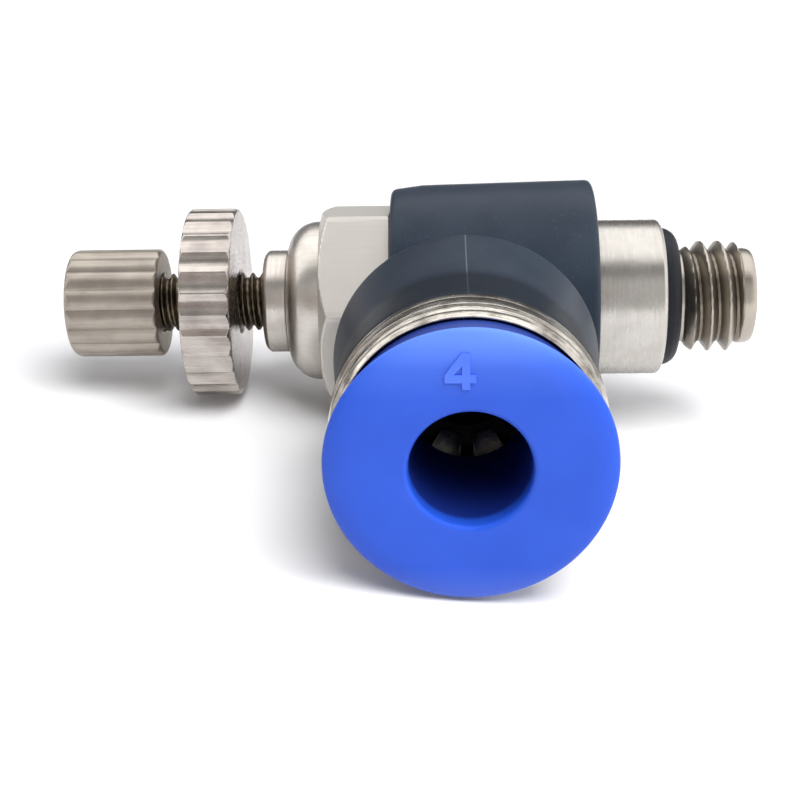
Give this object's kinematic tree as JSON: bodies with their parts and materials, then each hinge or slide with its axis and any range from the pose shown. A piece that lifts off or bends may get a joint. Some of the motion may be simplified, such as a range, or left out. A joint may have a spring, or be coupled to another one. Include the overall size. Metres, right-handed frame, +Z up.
{
  "type": "flow control valve",
  "caption": "Elbow flow control valve with an M5 thread, a swivelling push-in port for 4 mm tube and a knurled metering knob with lock nut.",
  "frame": {"origin": "on the M5 thread's axis, in the plane of the thread gasket's sealing face", "axes": "+X out of the M5 thread along the valve axis; -Y out of the tube port; +Z up, square to both"},
  "size_m": [0.0302, 0.0231, 0.0106],
  "materials": {
    "nickel_plate": "nickel-plated brass, lightly brushed",
    "black_plastic": "matte moulded",
    "blue_plastic": "satin moulded",
    "black_rubber": "matte",
    "spring_steel": "stamped",
    "spacer_plastic": "moulded"
  },
  "bodies": {
    "stem": {"valve_stem": "nickel_plate", "stem_collar": "nickel_plate", "guide_bush": "nickel_plate", "thread_gasket": "black_rubber", "upper_o_ring": "black_rubber", "lower_o_ring": "black_rubber", "check_seal": "black_rubber"},
    "elbow": {"valve_body": "black_plastic", "port_collar": "nickel_plate", "tube_seal": "black_rubber", "claw_ring": "spring_steel", "claw_backing_ring": "spacer_plastic"},
    "sleeve": {"release_sleeve": "blue_plastic"},
    "needle_seal": {"needle_o_ring": "black_rubber"},
    "adjuster": {"knob": "nickel_plate", "needle": "nickel_plate"},
    "nut": {"lock_nut": "nickel_plate"}
  },
  "joints": [
    {"name": "elbow_swivel", "type": "hinge", "parent": "stem", "child": "elbow", "pos_m": [0, 0, 0], "axis": [-1, 0, 0], "continuous": true},
    {"name": "sleeve_press", "type": "slide", "parent": "elbow", "child": "sleeve", "axis": [0, 1, 0], "range_m": [0, 0.0012], "stiffness_N_per_m": 200, "springref_m": -0.001},
    {"name": "needle_travel", "type": "slide", "parent": "stem", "child": "needle_seal", "axis": [1, 0, 0], "range_m": [-0.00135, 0.0009]},
    {"name": "knob_turn", "type": "hinge", "parent": "needle_seal", "child": "adjuster", "pos_m": [-0.0249, 0, 0], "axis": [1, 0, 0], "range_deg": [-1080, 720]},
    {"name": "nut_travel", "type": "slide", "parent": "stem", "child": "nut", "axis": [1, 0, 0], "range_m": [-0.0003, 0.0011]}
  ],
  "couplings": [
    {"joint": "knob_turn", "follows": "needle_travel", "rad_per_m": 13963}
  ]
}
